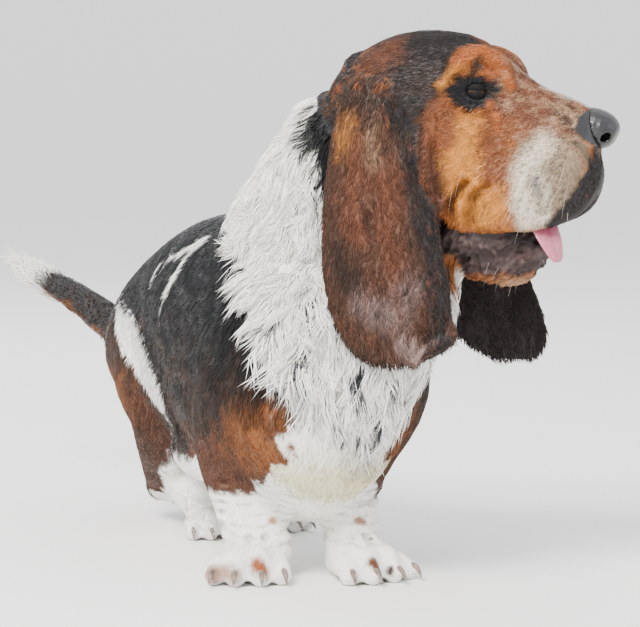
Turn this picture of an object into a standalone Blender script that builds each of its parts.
"""A basset hound at life size, half crouched, with its head turned to its left.

The dog faces -Y and its left side is +X. Body forms are first overlapping closed lofts in centimetres,
placed from a point under the withers, with heights from a level a little above the soles. They are fused and
smoothed into one skin, the folds are pressed into it, and thin cuts part it into head, neck, torso, tail
and legs.
"""

import math

import bmesh
import bpy
import numpy as np
from mathutils import Euler, Matrix, Vector

CM = 0.01
GAP = 0.0003

# Driving sizes, in centimetres. Heights are above the level that the legs are drawn from.
SOLE_DROP = 0.8
WITHERS_HEIGHT = 35.2
CHEST_CLEARANCE = 3.2
CHEST_HALF_WIDTH = 11.0
HEAD_YAW = math.radians(53)
HEAD_ROLL = math.radians(1.5)
HEAD_BASE = (1.7, -5.0, 43.0)
EYE_RADIUS = 1.15
EYE_PLACE = (13.6, 3.6, 3.8)
EYE_GAZE = math.radians(68)
LID_RADIUS = 1.3
EAR_THICKNESS = 0.5
FOREFEET = {-1: (-6.2, 0.6), 1: (4.2, -2.4)}
FOREFOOT_TURNS = {-1: math.radians(20), 1: math.radians(9)}
RUMP_SWING = 4.2
SWING_START = 12.0
CENTRE_OFFSET = (-0.0577, -0.280, SOLE_DROP * CM)

# Fineness of the fused skin
SKIN_VOXEL = 0.0034
SKIN_TRIANGLES = 7700
JAW_TRIANGLES = 520

# Colours, as the coat shows them
BLACK = (0.018, 0.017, 0.018)
TAN = (0.34, 0.13, 0.045)
WHITE = (0.78, 0.75, 0.69)
LIVER = (0.11, 0.042, 0.025)
NOSE_BLACK = (0.03, 0.03, 0.034)
TONGUE_PINK = (0.52, 0.2, 0.24)
EYE_BROWN = (0.05, 0.022, 0.01)


def clear_scene():
    for old in list(bpy.data.objects):
        bpy.data.objects.remove(old, do_unlink=True)
    for old in list(bpy.data.meshes):
        bpy.data.meshes.remove(old)


def material(name, colour, roughness):
    made = bpy.data.materials.new(name)
    made.use_nodes = True
    shader = made.node_tree.nodes["Principled BSDF"]
    shader.inputs["Base Color"].default_value = (*colour, 1.0)
    shader.inputs["Roughness"].default_value = roughness
    shader.inputs["Metallic"].default_value = 0.0
    return made


def place(points_cm, matrix=None):
    """Points in centimetres, moved by a matrix in centimetres, as metre vectors."""
    moved = [Vector(p) if matrix is None else matrix @ Vector(p) for p in points_cm]
    return [p * CM for p in moved]


def new_object(name, mesh):
    obj = bpy.data.objects.new(name, mesh)
    bpy.context.scene.collection.objects.link(obj)
    return obj


def recalculate(mesh):
    work = bmesh.new()
    work.from_mesh(mesh)
    bmesh.ops.recalc_face_normals(work, faces=work.faces)
    work.to_mesh(mesh)
    work.free()


def settle(obj):
    """Replaces an object's mesh by what its modifiers make of it."""
    graph = bpy.context.evaluated_depsgraph_get()
    mesh = bpy.data.meshes.new_from_object(obj.evaluated_get(graph))
    obj.modifiers.clear()
    old = obj.data
    obj.data = mesh
    bpy.data.meshes.remove(old)
    return obj


def remove(obj):
    mesh = obj.data
    bpy.data.objects.remove(obj, do_unlink=True)
    bpy.data.meshes.remove(mesh)


def subdivide(obj, levels):
    if levels == 0:
        return obj
    smooth = obj.modifiers.new("Soft form", "SUBSURF")
    smooth.levels = smooth.render_levels = levels
    return settle(obj)


def ring(centre, across, up, width, rise, drop, power_up=2.0, power_down=2.0, sides=14):
    """A closed section: an ellipse whose upper and lower halves have their own height and squareness."""
    points = []
    for k in range(sides):
        angle = 2 * math.pi * k / sides
        c, s = math.cos(angle), math.sin(angle)
        power = 2.0 / (power_up if s >= 0 else power_down)
        x = width * math.copysign(abs(c) ** power, c)
        z = (rise if s >= 0 else drop) * math.copysign(abs(s) ** power, s)
        points.append(Vector(centre) + Vector(across) * x + Vector(up) * z)
    return points


def loft(name, rings, matrix=None, levels=1):
    """A closed form through rings of the same count, with flat ends, then subdivided."""
    sides = len(rings[0])
    points = place([p for one in rings for p in one], matrix)
    faces = []
    for i in range(len(rings) - 1):
        for k in range(sides):
            a, b = i * sides + k, i * sides + (k + 1) % sides
            faces.append((a, b, b + sides, a + sides))
    last = (len(rings) - 1) * sides
    faces.append(tuple(reversed(range(sides))))
    faces.append(tuple(range(last, last + sides)))
    mesh = bpy.data.meshes.new(name)
    mesh.from_pydata(points, [], faces)
    recalculate(mesh)
    return subdivide(new_object(name, mesh), levels)


def limb(name, stations, up=(0, 0, 1), matrix=None, levels=1, sides=12):
    """A loft along a path. A station is (point, half width, half height) in centimetres."""
    spots = [Vector(s[0]) for s in stations]
    rings = []
    for i, (_, width, height) in enumerate(stations):
        along = spots[min(i + 1, len(spots) - 1)] - spots[max(i - 1, 0)]
        along.normalize()
        across = along.cross(Vector(up)).normalized()
        rise = across.cross(along).normalized()
        rings.append(ring(spots[i], across, rise, width, height, height, sides=sides))
    return loft(name, rings, matrix, levels)


def ellipsoid(name, centre, radii, matrix=None, turn=(0, 0, 0), segments=20):
    mesh = bpy.data.meshes.new(name)
    work = bmesh.new()
    bmesh.ops.create_uvsphere(work, u_segments=segments, v_segments=segments // 2 + 2, radius=1.0)
    work.to_mesh(mesh)
    work.free()
    tilt = Euler(turn).to_matrix().to_4x4()
    local = Matrix.Translation(centre) @ tilt @ Matrix.Diagonal((*radii, 1.0))
    whole = local if matrix is None else matrix @ local
    mesh.transform(Matrix.Scale(CM, 4) @ whole)
    return new_object(name, mesh)


def fuse(name, forms, voxel):
    """One closed skin round overlapping forms."""
    work = bmesh.new()
    for form in forms:
        work.from_mesh(form.data)
        remove(form)
    mesh = bpy.data.meshes.new(name)
    work.to_mesh(mesh)
    work.free()
    obj = new_object(name, mesh)
    wrap = obj.modifiers.new("Fuse", "REMESH")
    wrap.mode = "VOXEL"
    wrap.voxel_size = voxel
    wrap.use_smooth_shade = True
    return settle(obj)


def coordinates(obj):
    flat = np.empty(len(obj.data.vertices) * 3, np.float64)
    obj.data.vertices.foreach_get("co", flat)
    return flat.reshape(-1, 3) / CM


def normals(obj):
    flat = np.empty(len(obj.data.vertices) * 3, np.float64)
    obj.data.vertex_normals.foreach_get("vector", flat)
    return flat.reshape(-1, 3)


def set_coordinates(obj, points_cm):
    obj.data.vertices.foreach_set("co", (points_cm * CM).astype(np.float32).ravel())
    obj.data.update()


def relax(obj, rounds, weights=None):
    """Smooths an object, more where the weights are near 1."""
    smooth = obj.modifiers.new("Relax", "SMOOTH")
    smooth.factor = 0.5
    smooth.iterations = rounds
    if weights is not None:
        group = obj.vertex_groups.new(name="relax")
        for index, weight in enumerate(weights):
            group.add([index], float(weight), "REPLACE")
        smooth.vertex_group = "relax"
    settle(obj)
    obj.vertex_groups.clear()
    return obj


def distance_to_path(points, path):
    """The distance of each point to a polyline."""
    nearest = np.full(len(points), 1e9)
    spots = np.array(path, float)
    for a, b in zip(spots[:-1], spots[1:]):
        step = b - a
        t = np.clip(((points - a) @ step) / (step @ step), 0, 1)
        nearest = np.minimum(nearest, np.linalg.norm(points - a - t[:, None] * step, axis=1))
    return nearest


def press(obj, path, reach, depth):
    """Moves the skin along its own normals near a path: outwards where depth is positive."""
    points = coordinates(obj)
    fall = np.exp(-((distance_to_path(points, path) / reach) ** 2))
    set_coordinates(obj, points + normals(obj) * (fall * depth)[:, None])


def push(obj, centre, reach, move):
    """Moves the skin near a point by a fixed vector."""
    points = coordinates(obj)
    fall = np.exp(-((np.linalg.norm(points - np.array(centre), axis=1) / reach) ** 2))
    set_coordinates(obj, points + fall[:, None] * np.array(move))


def thin_out(obj, triangles):
    """Collapses edges until about this many triangles are left."""
    obj.data.calc_loop_triangles()
    reduce = obj.modifiers.new("Thin out", "DECIMATE")
    reduce.ratio = min(1.0, triangles / len(obj.data.loop_triangles))
    reduce.use_collapse_triangulate = True
    return settle(obj)


def boolean(obj, others, operation, solver="EXACT"):
    """Cuts or joins a collection of closed meshes, applies it and removes them."""
    group = bpy.data.collections.new("operands")
    for other in others:
        group.objects.link(other)
    step = obj.modifiers.new(operation, "BOOLEAN")
    step.operation = operation
    step.operand_type = "COLLECTION"
    step.collection = group
    step.solver = solver
    settle(obj)
    for other in others:
        remove(other)
    bpy.data.collections.remove(group)
    return obj


def inflated(obj, by):
    """A copy of a solid, grown along its normals, to cut a neighbour with."""
    copy = new_object(obj.name + "_grown", obj.data.copy())
    grow = copy.modifiers.new("Grow", "DISPLACE")
    grow.strength = by
    grow.mid_level = 0.0
    return settle(copy)


def islands(obj):
    """The separate closed surfaces of an object, as lists of face indices with a volume each."""
    work = bmesh.new()
    work.from_mesh(obj.data)
    bmesh.ops.triangulate(work, faces=work.faces)
    seen, found = set(), []
    for start in work.faces:
        if start.index in seen:
            continue
        stack, members = [start], []
        seen.add(start.index)
        while stack:
            face = stack.pop()
            members.append(face)
            for edge in face.edges:
                for other in edge.link_faces:
                    if other.index not in seen:
                        seen.add(other.index)
                        stack.append(other)
        triangles = [[v.co.copy() for v in face.verts] for face in members]
        volume = sum(a.dot(b.cross(c)) for a, b, c in triangles) / 6.0
        found.append((volume, triangles))
    work.free()
    return sorted(found, key=lambda one: -one[0])


def object_from_triangles(name, triangles):
    index, points, faces = {}, [], []
    for triangle in triangles:
        corners = []
        for p in triangle:
            key = (p.x, p.y, p.z)
            if key not in index:
                index[key] = len(points)
                points.append(p)
            corners.append(index[key])
        faces.append(corners)
    mesh = bpy.data.meshes.new(name)
    mesh.from_pydata(points, [], faces)
    return new_object(name, mesh)


def keep_largest(obj):
    """Drops every closed surface of an object but the largest."""
    name = obj.name
    best = islands(obj)[0][1]
    obj.name = "old"
    remove(obj)
    return object_from_triangles(name, best)


def box(centre, normal, size):
    """A box to cut with: its third size lies along the normal. All in centimetres."""
    mesh = bpy.data.meshes.new("cut")
    work = bmesh.new()
    bmesh.ops.create_cube(work, size=1.0)
    work.to_mesh(mesh)
    work.free()
    turn = Vector(normal).to_track_quat("Z", "Y").to_matrix().to_4x4()
    mesh.transform(Matrix.Scale(CM, 4) @ Matrix.Translation(centre) @ turn @ Matrix.Diagonal((*size, 1.0)))
    return new_object("cut", mesh)


def head_matrix():
    forward = Vector((math.sin(HEAD_YAW), -math.cos(HEAD_YAW), 0.0))
    left = Vector((math.cos(HEAD_YAW), math.sin(HEAD_YAW), 0.0))
    turn = Matrix((forward, left, (0, 0, 1))).transposed().to_4x4()
    return Matrix.Translation(HEAD_BASE) @ turn @ Matrix.Rotation(HEAD_ROLL, 4, "X")


HEAD = head_matrix()


def swing(y):
    """How far the spine has swung to the dog's right, at a distance behind the forefeet."""
    beyond = max(0.0, y - SWING_START) / 40.0
    return -RUMP_SWING * beyond**1.3


# Stations of the trunk: distance behind the forefeet, top, widest height, bottom, half width
TRUNK = (
    (-10.4, 25.0, 20.0, 15.0, 4.6),
    (-8.6, 28.2, 19.4, 9.6, 8.0),
    (-5.0, 31.0, 18.6, 5.8, 10.2),
    (0.0, 33.6, 18.0, CHEST_CLEARANCE + 0.4, CHEST_HALF_WIDTH),
    (7.0, WITHERS_HEIGHT, 18.4, CHEST_CLEARANCE, CHEST_HALF_WIDTH),
    (14.0, WITHERS_HEIGHT, 19.2, CHEST_CLEARANCE + 1.6, 10.7),
    (20.5, 34.7, 20.2, 6.8, 9.9),
    (26.0, 33.7, 20.6, 7.6, 8.8),
    (31.0, 32.2, 20.6, 7.2, 7.7),
    (36.0, 30.3, 20.0, 7.8, 7.1),
    (41.0, 27.8, 19.2, 9.8, 6.5),
    (45.5, 24.4, 18.2, 12.0, 5.2),
    (49.3, 21.2, 17.2, 13.6, 3.2),
)


def trunk_form():
    rings = []
    for y, top, middle, bottom, width in TRUNK:
        ahead, behind = swing(y + 1.0), swing(y - 1.0)
        along = Vector((ahead - behind, 2.0, 0.0)).normalized()
        across = along.cross(Vector((0, 0, 1)))
        keel = 1.7 if y < 16 else 2.0
        spot = (swing(y), y, middle)
        rings.append(ring(spot, across, (0, 0, 1), width, top - middle, middle - bottom, 2.15, keel, 20))
    return loft("trunk", rings)


# Slack skin that hangs at each side of the belly, between elbow and knee
SLACK_BELLY = (4.8, 17.0, 9.6)
SLACK_BELLY_RADII = (3.4, 7.5, 3.4)


def slack_belly(side):
    away, y, z = SLACK_BELLY
    return ellipsoid("slack_belly", (side * away + swing(y), y, z), SLACK_BELLY_RADII)


def neck_forms():
    scruff = limb(
        "scruff",
        (
            ((0.0, 11.5, 21.0), 9.6, 11.0),
            ((0.6, 7.2, 26.4), 9.8, 10.2),
            ((1.4, 3.2, 31.4), 9.2, 9.4),
            ((2.2, -0.6, 36.4), 8.0, 8.1),
            ((3.1, -4.2, 41.2), 7.0, 7.5),
            ((3.9, -7.0, 44.6), 6.0, 6.5),
        ),
        up=(0, 1, 0.6),
    )
    dewlap = limb(
        "dewlap",
        (
            ((9.4, -11.6, 33.0), 2.6, 3.4),
            ((8.2, -11.2, 29.0), 2.8, 3.6),
            ((6.2, -10.6, 25.0), 3.4, 4.0),
            ((3.8, -9.4, 21.0), 4.4, 4.4),
            ((2.0, -7.4, 16.5), 4.6, 4.4),
            ((1.4, -4.0, 11.5), 3.2, 3.4),
        ),
        up=(0, 1, 0.3),
    )
    return [scruff, dewlap]


# Stations of the skull and muzzle, in the head's own frame from the occiput:
# forward, top, widest height, bottom, half width, squareness above and below
SKULL = (
    (-0.6, 4.4, 1.0, -3.4, 3.0, 2.0, 2.0),
    (1.2, 7.2, 1.4, -5.6, 5.0, 2.0, 2.2),
    (3.9, 9.0, 1.6, -7.2, 6.2, 2.1, 2.4),
    (7.6, 9.8, 1.2, -8.2, 6.5, 2.2, 2.4),
    (11.0, 9.5, 0.6, -8.0, 6.2, 2.3, 2.4),
    (13.6, 8.9, -0.2, -6.8, 5.6, 2.3, 2.4),
    (16.2, 6.5, -1.2, -6.0, 4.9, 2.2, 2.4),
    (18.6, 4.4, -1.8, -5.8, 4.4, 2.2, 2.4),
    (21.0, 3.5, -2.2, -5.6, 4.0, 2.2, 2.4),
    (23.2, 2.6, -1.8, -5.2, 3.3, 2.2, 2.2),
    (24.8, 1.7, -1.2, -4.2, 2.3, 2.1, 2.0),
)

# Stations of the hanging upper lip from the mouth's corner to the middle of its front:
# forward, sideways, height of the centre, half thickness, half height
UPPER_LIP = (
    (10.6, 4.2, -5.6, 1.3, 3.6),
    (12.6, 4.5, -5.9, 1.3, 3.7),
    (15.4, 4.7, -6.1, 1.2, 3.6),
    (18.4, 4.6, -6.0, 1.2, 3.7),
    (21.2, 3.8, -5.3, 1.2, 3.9),
    (23.5, 2.2, -4.1, 1.25, 3.2),
    (24.1, 0.0, -3.3, 1.2, 2.4),
)


def mirrored_path(half):
    """Stations down one side, then back up the other, for a form that runs round the front of the head."""
    return list(half) + [(s[0], -s[1], *s[2:]) for s in reversed(half[:-1])]


def head_forms():
    rings = []
    for u, top, middle, bottom, width, high, low in SKULL:
        rise, drop = top - middle, middle - bottom
        rings.append(ring((u, 0, middle), (0, 1, 0), (0, 0, 1), width, rise, drop, high, low, 16))
    forms = [loft("skull", rings, HEAD)]
    lip = [((u, w, z), thick, high) for u, w, z, thick, high in mirrored_path(UPPER_LIP)]
    forms.append(limb("upper_lip", lip, matrix=HEAD))
    forms.append(ellipsoid("throat", (5.2, 0, -8.2), (5.6, 5.2, 5.6), HEAD))
    forms.append(ellipsoid("occiput", (1.8, 0, 6.0), (2.0, 1.8, 1.6), HEAD))
    forms.append(ellipsoid("nape", (1.6, 0, 2.2), (3.2, 4.4, 4.2), HEAD))
    forms.append(ellipsoid("throat_skin", (9.6, 0, -10.4), (2.8, 3.3, 3.2), HEAD))
    for side in (-1, 1):
        forms.append(ellipsoid("cheek", (8.8, side * 4.6, -3.4), (4.6, 2.3, 5.0), HEAD))
        turn = (0, 0.25, -side * 0.3)
        forms.append(ellipsoid("brow", (13.6, side * 3.2, 5.0), (3.9, 2.3, 3.0), HEAD, turn))
        forms.append(ellipsoid("cheekbone", (12.4, side * 4.5, 0.2), (3.2, 1.5, 1.8), HEAD))
        forms.append(ellipsoid("whisker_bed", (21.4, side * 3.3, -3.2), (2.8, 1.7, 2.9), HEAD))
    return forms


def side_of(side):
    return "left" if side > 0 else "right"


def foot_matrix(place_xy, turn):
    """A foot's frame: forward is +X, left is +Y, on the floor."""
    forward = Vector((math.sin(turn), -math.cos(turn), 0.0))
    left = Vector((math.cos(turn), math.sin(turn), 0.0))
    made = Matrix((forward, left, (0, 0, 1))).transposed().to_4x4()
    return Matrix.Translation((*place_xy, -SOLE_DROP)) @ made


# A toe's sideways place and height at its root, how far its knuckle reaches, how much it fans out
# and its thickness
TOES = (
    (-2.4, 1.6, 2.4, -13.0, 0.88),
    (-0.9, 2.6, 3.2, -4.0, 1.0),
    (0.9, 2.6, 3.2, 4.0, 1.0),
    (2.4, 1.6, 2.4, 13.0, 0.88),
)
TOE_TIP_HEIGHT = 1.2


def toe_spots(offset, height, reach, fan, size):
    """Root, knuckle and tip of a toe in its foot's frame."""
    turn = math.radians(fan)
    ahead = Vector((math.cos(turn), math.sin(turn), 0.0))
    root = Vector((0.0, offset, height)) * size
    knuckle = root + ahead * reach * size + Vector((0, 0, -0.1 * size))
    tip = knuckle + ahead * 1.5 * size
    tip.z = TOE_TIP_HEIGHT * size
    return root, knuckle, tip


def foot_forms(matrix, size):
    forms = [ellipsoid("sole", (-0.2 * size, 0, 1.4 * size), (4.0 * size, 3.0 * size, 2.1 * size), matrix)]
    for offset, height, reach, fan, thickness in TOES:
        root, knuckle, tip = toe_spots(offset, height, reach, fan, size)
        wide, high = 1.3 * thickness * size, 1.4 * thickness * size
        stations = (
            (root, wide, high),
            ((root + knuckle) / 2, wide, high),
            (knuckle, wide, high),
            (tip, 1.02 * size, 1.1 * size),
        )
        forms.append(limb("toe", stations, matrix=matrix, levels=2))
        pad = tip + Vector((0, 0, -0.25 * size))
        forms.append(ellipsoid("toe_pad", pad, (1.1 * size, 1.05 * size, 1.1 * size), matrix))
    return forms


def claw_forms(matrix, size):
    """One curved claw to a toe, its root sunk in the toe and its tip just clear of the floor."""
    forms = []
    for offset, height, reach, fan, _ in TOES:
        tip = toe_spots(offset, height, reach, fan, size)[2]
        ahead = Vector((math.cos(math.radians(fan)), math.sin(math.radians(fan)), 0.0)) * size
        rise = Vector((0, 0, size))
        stations = (
            (tip + rise * 0.15, 0.36 * size, 0.4 * size),
            (tip + ahead * 0.9 + rise * 0.25, 0.34 * size, 0.4 * size),
            (tip + ahead * 1.5 - rise * 0.1, 0.26 * size, 0.3 * size),
            (tip + ahead * 1.95 - rise * 0.6, 0.12 * size, 0.12 * size),
        )
        forms.append(limb("claw", stations, matrix=matrix, levels=0, sides=7))
    return forms


def forefoot_matrix(side):
    return foot_matrix(FOREFEET[side], side * FOREFOOT_TURNS[side])


# Stations of each foreleg from the shoulder to the wrist: place, half width, half depth
FORELEGS = {
    -1: (
        ((-6.4, -0.6, 23.0), 3.4, 5.0),
        ((-7.3, 0.0, 19.5), 4.1, 6.0),
        ((-7.6, 1.6, 15.6), 4.1, 5.9),
        ((-7.2, 3.8, 11.8), 3.7, 5.0),
        ((-6.3, 3.8, 8.6), 3.5, 4.0),
        ((-5.4, 3.0, 5.6), 3.3, 3.5),
        ((-4.9, 1.6, 3.2), 3.6, 3.2),
        ((-5.0, 0.6, 1.6), 3.7, 3.0),
        ((-5.5, 0.2, 0.4), 3.5, 2.8),
    ),
    1: (
        ((6.8, -0.6, 23.0), 3.6, 5.0),
        ((8.9, 0.0, 19.5), 4.4, 6.0),
        ((8.7, 1.6, 15.6), 4.1, 5.9),
        ((7.0, 3.2, 11.8), 3.8, 5.0),
        ((5.3, 2.6, 8.6), 3.5, 4.0),
        ((4.3, 1.0, 5.6), 3.0, 3.5),
        ((4.0, -0.8, 3.2), 3.0, 3.3),
        ((4.2, -2.0, 1.6), 3.2, 3.1),
        ((4.2, -2.3, 0.4), 3.2, 2.8),
    ),
}


def foreleg_forms(side):
    elbow = ellipsoid("elbow", (side * 7.4, 6.4, 11.8), (2.2, 2.6, 3.2))
    leg = limb("foreleg", FORELEGS[side], up=(0, 1, 0))
    return [leg, elbow, *foot_forms(forefoot_matrix(side), 1.0)]


# Places of a hind leg on the dog's right and left, in centimetres. The rump has swung to the right.
HIND_LEGS = {
    -1: {"hip": (-5.9, 40.5, 19.5), "knee": (-7.3, 28.8, 13.2), "hock": (-3.9, 37.4, 2.9),
         "foot": (-1.9, 25.8), "turn": math.radians(-2)},
    1: {"hip": (0.2, 40.5, 19.5), "knee": (5.0, 28.8, 13.2), "hock": (2.7, 37.6, 2.9),
        "foot": (5.5, 27.0), "turn": math.radians(8)},
}
HIND_FOOT_SIZE = 0.84
HIND_STANCE_MIDDLE = 1.8


def hindfoot_matrix(side):
    leg = HIND_LEGS[side]
    return foot_matrix(leg["foot"], leg["turn"])


def between(a, b, share):
    return Vector(a).lerp(Vector(b), share)


def hindleg_forms(side):
    leg = HIND_LEGS[side]
    hip, knee, hock = leg["hip"], leg["knee"], leg["hock"]
    foot = Vector((*leg["foot"], 1.2))
    thigh = limb(
        "thigh",
        (
            (Vector(hip) + Vector((0, 2.2, 1.0)), 2.4, 4.2),
            (hip, 3.2, 6.4),
            (between(hip, knee, 0.45), 3.4, 7.0),
            (between(hip, knee, 0.85), 3.0, 5.4),
            (knee, 2.4, 3.4),
        ),
        up=(0, 0, 1),
    )
    shank = limb(
        "shank",
        (
            (between(hip, knee, 0.7), 2.5, 4.6),
            (between(knee, hock, 0.15), 2.6, 4.5),
            (between(knee, hock, 0.5) + Vector((0, -1.4, 0)), 2.5, 5.2),
            (between(knee, hock, 0.85) + Vector((0, -1.2, 0)), 2.0, 3.8),
            (hock, 1.7, 1.9),
            (Vector(hock) + Vector((0, 0.9, -0.7)), 1.4, 1.3),
        ),
        up=(0, 1, 0),
    )
    rear = limb(
        "rear_pastern",
        (
            (Vector(hock) + Vector((0, 0.4, -0.2)), 1.7, 1.6),
            (between(hock, foot, 0.3) + Vector((0, 0, 2.0)), 2.1, 2.9),
            (between(hock, foot, 0.65) + Vector((0, 0, 1.6)), 2.4, 2.4),
            (foot + Vector((0, 0, 0.5)), 2.6, 2.0),
        ),
    )
    return [thigh, shank, rear, *foot_forms(hindfoot_matrix(side), HIND_FOOT_SIZE)]


# Stations of the tail: place, half width, half height
TAIL = (
    ((-4.0, 45.0, 18.6), 2.4, 2.6),
    ((-4.6, 49.5, 19.3), 2.2, 2.5),
    ((-5.4, 53.5, 20.6), 2.0, 2.3),
    ((-6.6, 59.0, 22.3), 1.75, 2.0),
    ((-7.8, 64.5, 23.6), 1.6, 1.85),
    ((-9.2, 70.0, 24.7), 1.4, 1.6),
    ((-10.2, 74.5, 25.7), 1.0, 1.15),
    ((-10.9, 77.2, 26.4), 0.5, 0.6),
    ((-11.4, 79.2, 26.9), 0.2, 0.22),
)


def whole_body():
    """All of the flesh but the ears and lower jaw, fused, folded and thinned."""
    forms = [trunk_form(), *neck_forms(), *head_forms(), limb("tail", TAIL)]
    for side in (-1, 1):
        forms += [slack_belly(side), *foreleg_forms(side), *hindleg_forms(side)]
    body = fuse("body", forms, SKIN_VOXEL)
    points = coordinates(body)
    head_points = points @ np.array(HEAD.to_3x3()) - np.array(HEAD.to_3x3().transposed() @ HEAD.translation)
    forward, low = head_points[:, 0], points[:, 2]
    on_head = np.clip((forward - 2.0) / 4.0, 0, 1) * (points[:, 2] > 26)
    on_feet = np.clip((3.8 - low) / 2.0, 0, 1)
    soft = np.clip(1.0 - np.maximum(0.75 * on_head, on_feet), 0.0, 1.0)
    relax(body, 2)
    relax(body, 24, soft)
    folds(body)
    relax(body, 1)
    return thin_out(body, SKIN_TRIANGLES)


def on_head(*points):
    return [HEAD @ Vector(p) for p in points]


# Folds of the right face in the head's frame, mirrored for the left: path, reach and height.
# The inverted V over the eye, two folds behind the mouth's corner and the hollow before the eye.
FACE_FOLDS = (
    (((10.8, 6.0, 4.4), (12.4, 5.6, 6.2), (14.2, 4.6, 7.4), (15.8, 4.0, 6.2), (16.8, 3.2, 4.2)), 0.75, 0.42),
    (((11.0, 6.0, -4.4), (11.9, 6.0, -7.6), (12.2, 5.6, -9.6)), 0.45, -0.42),
    (((12.4, 6.0, -4.8), (13.3, 6.0, -7.6), (13.6, 5.8, -9.4)), 0.45, -0.34),
    (((16.2, 4.8, 2.2), (15.9, 5.4, -0.6), (15.4, 5.8, -3.0)), 0.6, -0.2),
)


def folds(body):
    """The folds and hollows of the skin: orbits, face folds, toe grooves and the wrinkled pasterns."""
    for side in (-1, 1):
        (orbit,) = on_head((13.9, side * 5.6, 3.6))
        inward = HEAD.to_3x3() @ Vector((0.0, -side, 0.0))
        push(body, orbit, 1.7, inward * 1.15)
        for path, reach, depth in FACE_FOLDS:
            press(body, on_head(*[(u, side * w, z) for u, w, z in path]), reach, depth)
        for hind in (False, True):
            matrix = hindfoot_matrix(side) if hind else forefoot_matrix(side)
            size = HIND_FOOT_SIZE if hind else 1.0
            for gap, fan in ((-1.85, -7.5), (0.0, 0.0), (1.85, 7.5)):
                turn = math.radians(fan)
                ahead = Vector((math.cos(turn), math.sin(turn), 0)) * size
                start = Vector((1.0, gap, 4.2)) * size
                path = [start, start + ahead * 3.0, start + ahead * 4.6 + Vector((0, 0, -3.4 * size))]
                press(body, [matrix @ p for p in path], 0.5 * size, -0.42 * size)
        for height, depth in ((4.0, -0.3), (5.6, -0.34), (7.4, -0.3), (9.4, -0.24)):
            around = []
            for a in np.linspace(math.pi, 2 * math.pi, 9):
                wave = 0.5 * math.sin(2 * a + height)
                around.append((side * 6.0 + 4.6 * math.cos(a), 1.4 + 4.8 * math.sin(a), height + wave))
            press(body, around, 0.55, depth)


# Flat cuts: centre, the way the cut faces, and how wide it is. The head's is in the head's own frame.
TAIL_CUT = ((-5.2, 52.4, 20.2), (-0.2, 1.0, 0.25), 9.0)
NECK_CUT = ((1.4, 2.2, 30.6), (0.12, -0.62, 0.78), 40.0)
HEAD_CUT = ((5.0, 0.0, -4.75), (0.718, 0.0, 0.696), 24.0)


def region(name, side, levels):
    """A volume that holds one leg. A level is (origin, height, inward, outward, ahead, behind)."""
    rings = []
    for (x, y), height, inner, outer, front, rear in levels:
        centre = (x + side * (outer - inner) / 2, y + (rear - front) / 2, height)
        half = (front + rear) / 2
        rings.append(ring(centre, (side, 0, 0), (0, -1, 0), (outer + inner) / 2, half, half, 2.8, 2.8, 12))
    return loft(name, rings, levels=0)


def foreleg_region(side):
    origin = (side + FORELEGS[side][-2][0][0], 0.0)
    levels = (
        (origin, -2.0, 5.1, 9.0, 12.5, 9.0),
        (origin, 3.5, 4.9, 9.0, 12.0, 10.0),
        (origin, 8.0, 3.0, 9.0, 8.6, 10.6),
        (origin, 12.0, 0.4, 9.0, 7.4, 10.4),
        (origin, 16.0, -2.6, 9.2, 6.6, 9.0),
        (origin, 20.0, -5.2, 9.4, 5.0, 6.6),
    )
    return region("foreleg_region", side, levels)


def hindleg_region(side):
    leg = HIND_LEGS[side]
    thigh = Vector(leg["hip"]).lerp(Vector(leg["knee"]), 0.5)[:2]
    foot = Vector(leg["hock"])[:2]
    inner = abs(foot[0] - HIND_STANCE_MIDDLE)
    levels = (
        (foot, -3.0, inner, 10.0, 22.0, 8.0),
        (foot, 3.5, inner, 10.0, 22.0, 8.0),
        (thigh, 8.0, 3.0, 9.0, 13.0, 12.4),
        (thigh, 12.0, 0.8, 9.0, 10.6, 12.8),
        (thigh, 16.0, -0.4, 9.0, 8.2, 12.0),
        (thigh, 20.0, -1.4, 9.0, 5.0, 9.8),
        (thigh, 23.6, -2.4, 8.6, 1.6, 6.4),
    )
    return region("hindleg_region", side, levels)


def take(body, volume, name):
    """Frees the part of the body inside a volume, and keeps the gap between the two."""
    piece = new_object(name, body.data.copy())
    grown = inflated(volume, GAP)
    boolean(piece, [volume], "INTERSECT")
    boolean(body, [grown], "DIFFERENCE")
    return keep_largest(piece)


def volume_centre(triangles):
    corners = np.array([[list(p) for p in t] for t in triangles])
    return corners.reshape(-1, 3).mean(axis=0)


def part_body(body):
    """Cuts the soles flat and parts the body into its named pieces."""
    depth = 10.0
    floor = box((0.0, 30.0, -SOLE_DROP - depth / 2), (0, 0, 1), (200.0, 200.0, depth))
    boolean(body, [floor], "DIFFERENCE")
    pieces = {}
    for side in (-1, 1):
        name = "foreleg_" + side_of(side)
        pieces[name] = take(body, foreleg_region(side), name)
        name = "hindleg_" + side_of(side)
        pieces[name] = take(body, hindleg_region(side), name)
    centre, facing, width = HEAD_CUT
    cuts = (TAIL_CUT, NECK_CUT, (HEAD @ Vector(centre), HEAD.to_3x3() @ Vector(facing), width))
    boolean(body, [box(spot, normal, (wide, wide, GAP / CM)) for spot, normal, wide in cuts], "DIFFERENCE")
    loose = [triangles for volume, triangles in islands(body) if volume > 1e-6]
    marks = {"head": HEAD @ Vector((12, 0, 1)), "neck": Vector((2.2, -1.0, 36.0)),
             "torso": Vector((0, 15, 20)), "tail": Vector((-6.5, 65.0, 25.0))}
    for name, mark in marks.items():
        nearest = min(loose, key=lambda one: np.linalg.norm(volume_centre(one) - np.array(mark) * CM))
        pieces[name] = object_from_triangles(name, nearest)
    remove(body)
    return pieces


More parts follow.
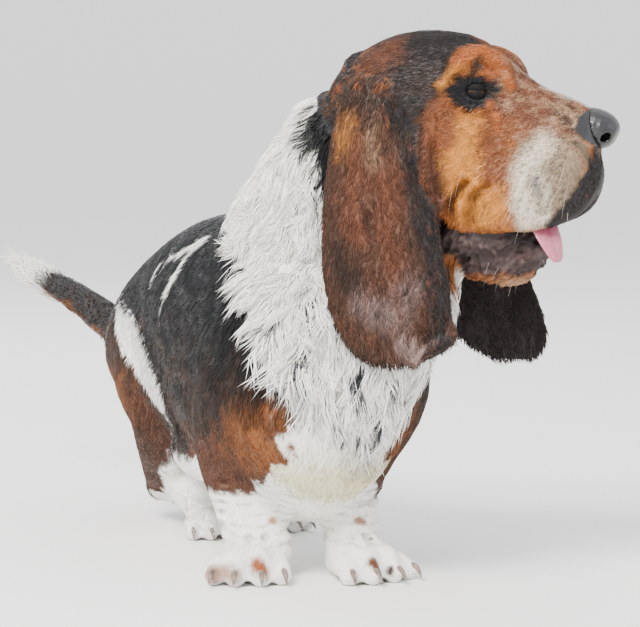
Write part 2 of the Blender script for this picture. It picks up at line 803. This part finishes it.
def ear_form(side):
    """A hanging ear: a curled leaf whose section is a strong cup at the root and nearly flat at the tip."""
    stations = EARS[side]
    across, along = 6, len(stations)
    points, faces = [], []
    for (u, w, z), half, curl, twist in stations:
        outward = Vector((math.sin(twist), side * math.cos(twist), 0.0))
        forward = Vector((math.cos(twist), -side * math.sin(twist), 0.0))
        radius = half / curl
        for k in range(across):
            t = 2 * k / (across - 1) - 1
            spot = Vector((u, w, z)) + forward * radius * math.sin(t * curl)
            points.append(spot + outward * radius * (math.cos(t * curl) - 1))
    for i in range(along - 1):
        for k in range(across - 1):
            a = i * across + k
            faces.append((a, a + 1, a + across + 1, a + across))
    mesh = bpy.data.meshes.new("ear")
    mesh.from_pydata(place(points, HEAD), [], faces)
    ear = new_object("ear_" + side_of(side), mesh)
    shell = ear.modifiers.new("Thickness", "SOLIDIFY")
    shell.thickness = EAR_THICKNESS * CM
    shell.offset = 0.0
    settle(ear)
    recalculate(ear.data)
    return subdivide(ear, 1)


# Stations of each ear in the head's frame: centre, half width round its curl, curl, twist
EARS = {
    -1: (
        ((5.6, -4.6, 5.6), 4.0, 1.4, 0.2),
        ((5.3, -6.4, 4.6), 5.3, 1.5, 0.2),
        ((5.0, -7.6, 1.6), 6.0, 1.35, 0.1),
        ((4.8, -8.2, -2.2), 6.4, 1.15, 0.0),
        ((4.9, -8.7, -7.4), 6.5, 0.9, 0.0),
        ((5.4, -9.0, -12.6), 6.9, 0.75, 0.0),
        ((6.2, -9.1, -16.6), 6.8, 0.7, 0.0),
        ((6.6, -9.0, -19.0), 5.9, 0.7, 0.0),
        ((6.9, -8.9, -20.6), 4.6, 0.6, 0.0),
        ((7.1, -8.8, -21.5), 2.4, 0.5, 0.0),
    ),
    1: (
        ((5.6, 4.6, 5.6), 4.0, 1.4, -0.2),
        ((5.6, 6.4, 4.6), 5.1, 1.5, -0.2),
        ((5.9, 7.6, 1.6), 5.7, 1.35, -0.1),
        ((6.9, 8.2, -2.2), 6.0, 1.15, 0.0),
        ((8.9, 8.6, -7.4), 6.2, 0.9, 0.0),
        ((10.4, 8.8, -12.6), 6.1, 0.75, 0.0),
        ((12.3, 8.8, -17.0), 6.1, 0.7, 0.0),
        ((13.6, 8.6, -19.8), 5.4, 0.7, 0.0),
        ((14.4, 8.5, -21.6), 4.1, 0.6, 0.0),
        ((14.8, 8.4, -22.8), 2.0, 0.5, 0.0),
    ),
}


def eye_form(side):
    u, w, z = EYE_PLACE
    return ellipsoid("eye_" + side_of(side), (u, side * w, z), [EYE_RADIUS] * 3, HEAD, segments=16)


def lid_form(side, upper):
    """A lid: a patch of a sphere round the eye, from its margin to where it is sunk in the skin."""
    u, w, z = EYE_PLACE
    centre = Vector((u, side * w, z))
    gaze = Vector((math.cos(EYE_GAZE), side * math.sin(EYE_GAZE), 0.0))
    forward = Vector((math.sin(EYE_GAZE), -side * math.cos(EYE_GAZE), 0.0))
    open_to = math.radians(30 if upper else 44)
    corner = math.radians(62)
    sunk = math.radians(96)
    around, across = 9, 4
    points, faces = [], []
    for i in range(around):
        turn = math.pi * i / (around - 1)
        margin = corner + (open_to - corner) * math.sin(turn)
        for k in range(across):
            tilt = margin + (sunk - margin) * k / (across - 1)
            rise = math.sin(turn) * (1 if upper else -1)
            ray = gaze * math.cos(tilt) + (forward * math.cos(turn) + Vector((0, 0, rise))) * math.sin(tilt)
            points.append(centre + ray * LID_RADIUS)
    for i in range(around - 1):
        for k in range(across - 1):
            a = i * across + k
            faces.append((a, a + 1, a + across + 1, a + across))
    mesh = bpy.data.meshes.new("lid")
    mesh.from_pydata(place(points, HEAD), [], faces)
    lid = new_object("lid", mesh)
    shell = lid.modifiers.new("Thickness", "SOLIDIFY")
    shell.thickness = 0.32 * CM
    shell.offset = 0.0
    settle(lid)
    recalculate(lid.data)
    return lid


# Stations of the lower jaw in the head's frame: forward, top, widest height, bottom, half width
JAW = (
    (8.0, -7.6, -10.0, -13.4, 2.2),
    (10.5, -7.4, -11.0, -14.0, 3.2),
    (13.5, -7.6, -11.7, -14.6, 3.9),
    (15.8, -7.8, -12.0, -15.1, 3.8),
    (17.6, -8.1, -12.0, -14.9, 3.2),
    (19.1, -8.5, -11.2, -13.1, 2.5),
    (20.2, -9.0, -10.6, -11.9, 1.6),
)


# Stations of the loose lower lip from the mouth's corner to its front:
# forward, sideways, height of the centre, half thickness, half height
LOWER_LIP = (
    (9.6, 3.2, -9.8, 1.0, 1.5),
    (11.6, 3.7, -10.3, 1.0, 1.5),
    (13.8, 3.9, -10.0, 0.9, 1.6),
    (16.0, 3.5, -9.9, 0.8, 1.3),
    (18.0, 2.5, -9.8, 0.7, 1.0),
    (19.2, 1.2, -9.9, 0.6, 0.8),
    (19.5, 0.0, -9.9, 0.6, 0.8),
)


def jaw_form():
    rings = []
    for u, top, middle, bottom, width in JAW:
        rise, drop = top - middle, middle - bottom
        rings.append(ring((u, 0, middle), (0, 1, 0), (0, 0, 1), width, rise, drop, 1.8, 2.0, 10))
    lip = [((u, w, z), thick, high) for u, w, z, thick, high in mirrored_path(LOWER_LIP)]
    jaw = fuse("lower_jaw", [loft("jaw", rings, HEAD), limb("lower_lip", lip, matrix=HEAD)], SKIN_VOXEL * 0.6)
    for side in (-1, 1):
        under_lip = on_head((10.5, side * 3.8, -12.2), (13.4, side * 4.4, -12.0), (16.0, side * 3.9, -11.6),
                            (18.2, side * 2.6, -11.2))
        press(jaw, under_lip, 0.5, -0.3)
    relax(jaw, 3)
    return thin_out(jaw, JAW_TRIANGLES)


def tongue_form():
    stations = (
        ((12.5, 0.0, -7.6), 1.6, 0.45),
        ((15.6, -0.2, -7.2), 2.1, 0.45),
        ((18.0, -1.1, -7.3), 2.2, 0.42),
        ((19.5, -2.3, -8.3), 2.1, 0.4),
        ((20.4, -3.2, -9.8), 1.8, 0.38),
        ((21.0, -3.7, -11.2), 1.4, 0.36),
        ((21.4, -3.9, -12.2), 0.8, 0.3),
    )
    return limb("tongue", stations, matrix=HEAD, sides=6)


def nose_form():
    stations = (
        ((22.5, 0, 0.1), 2.0, 1.9),
        ((23.6, 0, 0.3), 2.35, 2.05),
        ((24.8, 0, 0.0), 2.35, 1.95),
        ((25.7, 0, -0.4), 1.9, 1.5),
        ((26.15, 0, -0.6), 1.1, 0.8),
    )
    nose = limb("nose", stations, matrix=HEAD, sides=10)
    nostrils = []
    for side in (-1, 1):
        spot, radii = (25.3, side * 1.55, -0.6), (1.2, 0.5, 0.5)
        nostrils.append(ellipsoid("nostril", spot, radii, HEAD, (0, 0, side * 0.6), 10))
    return boolean(nose, nostrils, "DIFFERENCE")


def finish(obj, mat, degrees=40):
    obj.data.materials.clear()
    obj.data.materials.append(mat)
    for polygon in obj.data.polygons:
        polygon.material_index = 0
    obj.data.shade_smooth()
    obj.data.set_sharp_from_angle(angle=math.radians(degrees))
    obj.location = Vector(CENTRE_OFFSET)


def main():
    clear_scene()
    body = whole_body()
    extras = [lid_form(side, upper) for side in (-1, 1) for upper in (False, True)]
    for side in (-1, 1):
        extras += claw_forms(forefoot_matrix(side), 1.0) + claw_forms(hindfoot_matrix(side), HIND_FOOT_SIZE)
    boolean(body, extras, "UNION")
    pieces = part_body(body)
    head = pieces["head"]
    for side in (-1, 1):
        name = "eye_" + side_of(side)
        pieces[name] = eye_form(side)
        boolean(head, [inflated(pieces[name], GAP)], "DIFFERENCE")
    head = pieces["head"] = keep_largest(head)
    nose = nose_form()
    pieces["nose"] = keep_largest(boolean(nose, [inflated(head, GAP)], "DIFFERENCE"))
    jaw = jaw_form()
    jaw = boolean(jaw, [inflated(head, GAP), inflated(pieces["neck"], GAP)], "DIFFERENCE")
    pieces["lower_jaw"] = jaw = keep_largest(jaw)
    tongue = boolean(tongue_form(), [inflated(head, GAP), inflated(jaw, GAP)], "DIFFERENCE")
    pieces["tongue"] = keep_largest(tongue)
    for side in (-1, 1):
        name = "ear_" + side_of(side)
        ear = boolean(ear_form(side), [inflated(head, GAP), inflated(pieces["neck"], GAP)], "DIFFERENCE")
        pieces[name] = keep_largest(ear)
    coats = {
        "black_coat": material("black_coat", BLACK, 0.6),
        "tan_coat": material("tan_coat", TAN, 0.65),
        "white_coat": material("white_coat", WHITE, 0.7),
        "ear_coat": material("ear_coat", LIVER, 0.55),
        "nose_leather": material("nose_leather", NOSE_BLACK, 0.35),
        "tongue_flesh": material("tongue_flesh", TONGUE_PINK, 0.3),
        "eye_surface": material("eye_surface", EYE_BROWN, 0.05),
    }
    wears = {"torso": "black_coat", "tail": "black_coat", "head": "tan_coat", "neck": "white_coat",
             "lower_jaw": "tan_coat", "nose": "nose_leather", "tongue": "tongue_flesh",
             "eye_left": "eye_surface", "eye_right": "eye_surface",
             "ear_left": "ear_coat", "ear_right": "ear_coat"}
    for name, obj in pieces.items():
        obj.name = name
        finish(obj, coats[wears.get(name, "white_coat")])


main()
